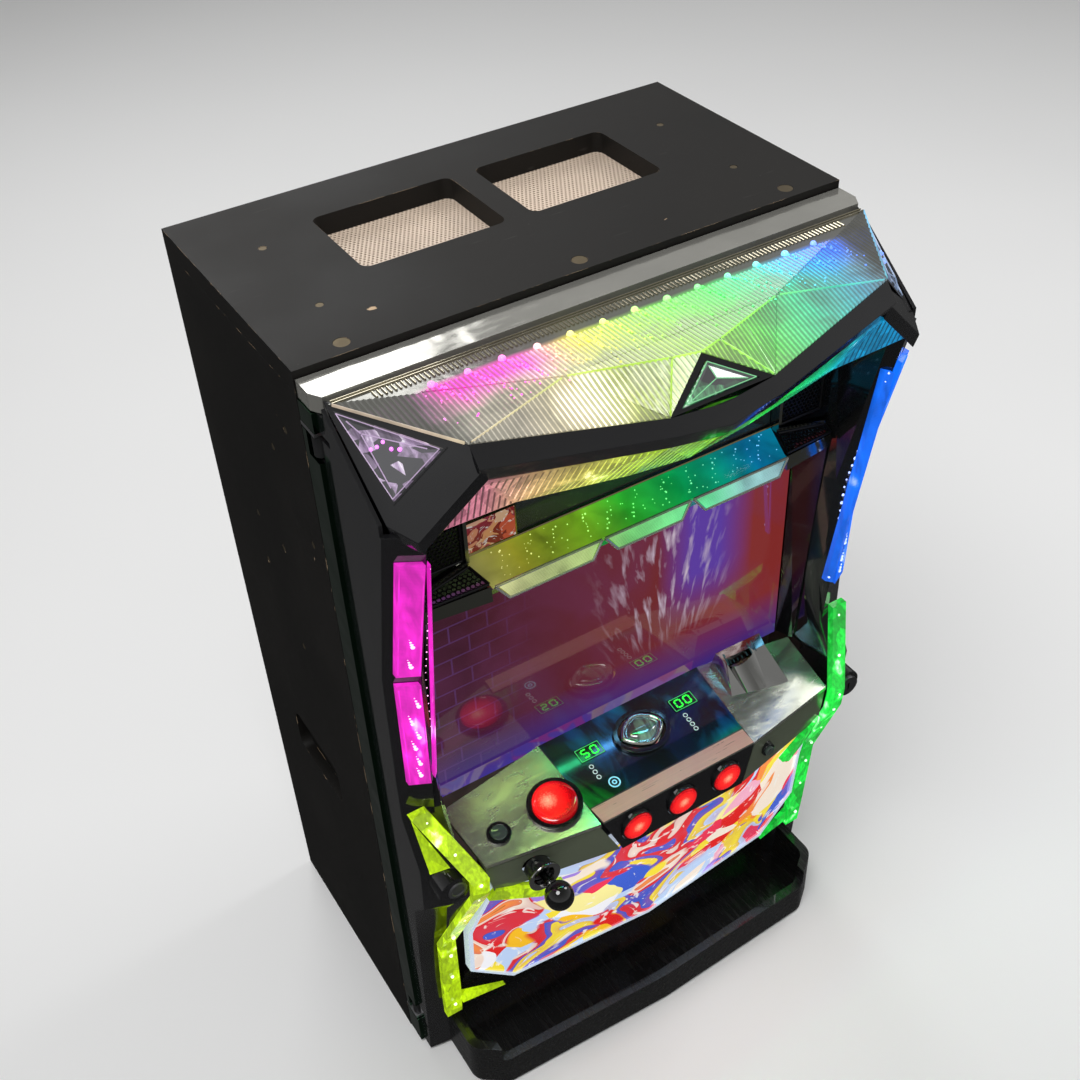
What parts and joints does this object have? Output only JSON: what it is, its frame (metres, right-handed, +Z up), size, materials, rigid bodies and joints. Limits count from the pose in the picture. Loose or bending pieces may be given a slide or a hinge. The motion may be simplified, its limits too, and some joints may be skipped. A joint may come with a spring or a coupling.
{
  "type": "pachislot machine",
  "caption": "Upright medal-operated reel game: black board cabinet with a hinged lit front door, screen, console, start lever, stop buttons and payout tray.",
  "frame": {"origin": "middle of the overall footprint at floor level", "axes": "+Z up, -Y out of the front door towards the player, +X to the player's right"},
  "size_m": [0.48, 0.424, 0.81],
  "materials": {
    "cabinet_board": "matte black melamine on particle board, brown worn edges",
    "vent_mesh": "perforated sheet, cream paint",
    "screw": "yellow passivated, dull",
    "steel": "zinc plated",
    "supply_case": "satin grey",
    "switch": "gloss",
    "hopper_plastic": "moulded, satin",
    "tank_plastic": "moulded, satin",
    "disc": "moulded yellow",
    "board_case": "clear moulded",
    "reel_sheet": "satin black",
    "motor": "satin",
    "reel_drum": "white film on a clear drum",
    "door_frame": "textured",
    "gloss_black": "piano black",
    "chrome_trim": "vacuum plated plastic",
    "clear_lens": "clear ribbed acrylic",
    "gem_lens": "clear faceted acrylic",
    "lamp_lens": "tinted by the lamps behind it",
    "arm_lens": "tinted by the lamps behind it",
    "grille": "satin black expanded mesh",
    "speaker": "paper cone and steel basket",
    "window_glass": "smoked acrylic",
    "screen": "lit display behind clear acrylic",
    "plate_dark": "mirror-dark acrylic",
    "digits": "green segment display",
    "bezel": "black gloss",
    "art_print": "back-lit printed sheet",
    "frame_white": "clear edge-lit frame",
    "tray_plastic": "moulded black, light gloss",
    "button_red": "lit red lens",
    "button_dark": "smoked",
    "button_chrome": "plated rim, clear dome",
    "lever_metal": "polished",
    "ball_black": "polished phenolic",
    "lock_metal": "satin"
  },
  "bodies": {
    "cabinet": {"side_panel_left": "cabinet_board", "side_panel_right": "cabinet_board", "top_panel": "cabinet_board", "bottom_panel": "cabinet_board", "back_panel": "cabinet_board", "reel_shelf": "cabinet_board", "vent_meshes": "vent_mesh", "panel_screws": "screw", "hinge_brackets": "steel", "power_unit": "supply_case", "hopper_base": "hopper_plastic", "hopper_bucket": "hopper_plastic", "overflow_tank": "tank_plastic", "main_board_case": "board_case", "reel_frame": "reel_sheet", "reel_motors": "motor"},
    "door": {"door_frame": "door_frame", "pillars": "gloss_black", "side_trims": "chrome_trim", "chrome_header": "chrome_trim", "top_lens": "clear_lens", "brow_band": "gloss_black", "corner_frames": "gloss_black", "brow_gems": "gem_lens", "brow_lower_lens": "clear_lens", "shelf_lens": "clear_lens", "chrome_trims": "chrome_trim", "speaker_grilles": "grille", "speaker_drivers": "speaker", "reel_window": "window_glass", "screen": "screen", "window_bezel": "gloss_black", "pillar_lamps": "lamp_lens", "arm_lenses": "arm_lens", "console_plates": "chrome_trim", "console_centre": "plate_dark", "console_fronts": "chrome_trim", "stop_strip": "gloss_black", "medal_inlet": "chrome_trim", "digit_displays": "digits", "button_bezels": "bezel", "art_panel": "art_print", "art_frame": "frame_white", "medal_tray": "tray_plastic"},
    "reel_left": {"reel_left": "reel_drum"},
    "reel_centre": {"reel_centre": "reel_drum"},
    "reel_right": {"reel_right": "reel_drum"},
    "hopper_disc": {"hopper_disc": "disc"},
    "power_switch": {"power_switch": "switch"},
    "max_bet_button": {"max_bet_button": "button_red"},
    "bet_one_button": {"bet_one_button": "button_dark"},
    "chance_button": {"chance_button": "button_chrome"},
    "stop_left": {"stop_left": "button_red"},
    "stop_centre": {"stop_centre": "button_red"},
    "stop_right": {"stop_right": "button_red"},
    "return_button": {"return_button": "button_dark"},
    "lever_gimbal": {"lever_gimbal": "steel"},
    "start_lever": {"start_lever": "lever_metal", "lever_ball": "ball_black"},
    "key_cylinder": {"key_cylinder": "lock_metal"}
  },
  "joints": [
    {"name": "door_hinge", "type": "hinge", "parent": "cabinet", "child": "door", "pos_m": [-0.234, -0.054, 0], "axis": [0, 0, -1], "range_deg": [0, 110]},
    {"name": "reel_left_spin", "type": "hinge", "parent": "cabinet", "child": "reel_left", "pos_m": [-0.068, 0.054, 0.68], "axis": [1, 0, 0], "continuous": true},
    {"name": "reel_centre_spin", "type": "hinge", "parent": "cabinet", "child": "reel_centre", "pos_m": [0, 0.054, 0.68], "axis": [1, 0, 0], "continuous": true},
    {"name": "reel_right_spin", "type": "hinge", "parent": "cabinet", "child": "reel_right", "pos_m": [0.068, 0.054, 0.68], "axis": [1, 0, 0], "continuous": true},
    {"name": "hopper_disc_spin", "type": "hinge", "parent": "cabinet", "child": "hopper_disc", "pos_m": [0.04, 0.092, 0.079], "axis": [0, 0, 1], "continuous": true},
    {"name": "power_switch_rock", "type": "hinge", "parent": "cabinet", "child": "power_switch", "pos_m": [0.18, 0.0425, 0.15], "axis": [1, 0, 0], "range_deg": [-7, 7]},
    {"name": "max_bet_button_press", "type": "slide", "parent": "door", "child": "max_bet_button", "axis": [0.0924, 0.1583, -0.9831], "range_m": [0, 0.004], "stiffness_N_per_m": 600, "springref_m": -0.002},
    {"name": "bet_one_button_press", "type": "slide", "parent": "door", "child": "bet_one_button", "axis": [0.0924, 0.1583, -0.9831], "range_m": [0, 0.003], "stiffness_N_per_m": 400, "springref_m": -0.002},
    {"name": "chance_button_press", "type": "slide", "parent": "door", "child": "chance_button", "axis": [0, 0.159, -0.9873], "range_m": [0, 0.003], "stiffness_N_per_m": 500, "springref_m": -0.002},
    {"name": "stop_left_press", "type": "slide", "parent": "door", "child": "stop_left", "axis": [0, 1, 0], "range_m": [0, 0.003], "stiffness_N_per_m": 400, "springref_m": -0.002},
    {"name": "stop_centre_press", "type": "slide", "parent": "door", "child": "stop_centre", "axis": [0, 1, 0], "range_m": [0, 0.003], "stiffness_N_per_m": 400, "springref_m": -0.002},
    {"name": "stop_right_press", "type": "slide", "parent": "door", "child": "stop_right", "axis": [0, 1, 0], "range_m": [0, 0.003], "stiffness_N_per_m": 400, "springref_m": -0.002},
    {"name": "return_button_press", "type": "slide", "parent": "door", "child": "return_button", "axis": [0, 1, 0], "range_m": [0, 0.0035], "stiffness_N_per_m": 300, "springref_m": -0.002},
    {"name": "lever_up_down", "type": "hinge", "parent": "door", "child": "lever_gimbal", "pos_m": [-0.143, -0.162, 0.33], "axis": [1, 0, 0], "range_deg": [-10, 10], "stiffness_Nm_per_rad": 0.6},
    {"name": "lever_left_right", "type": "hinge", "parent": "lever_gimbal", "child": "start_lever", "pos_m": [-0.143, -0.162, 0.33], "axis": [0, 0, 1], "range_deg": [-10, 10], "stiffness_Nm_per_rad": 0.6},
    {"name": "door_key", "type": "hinge", "parent": "door", "child": "key_cylinder", "pos_m": [0.216, -0.124, 0.335], "axis": [0, -1, 0], "range_deg": [0, 90]}
  ]
}
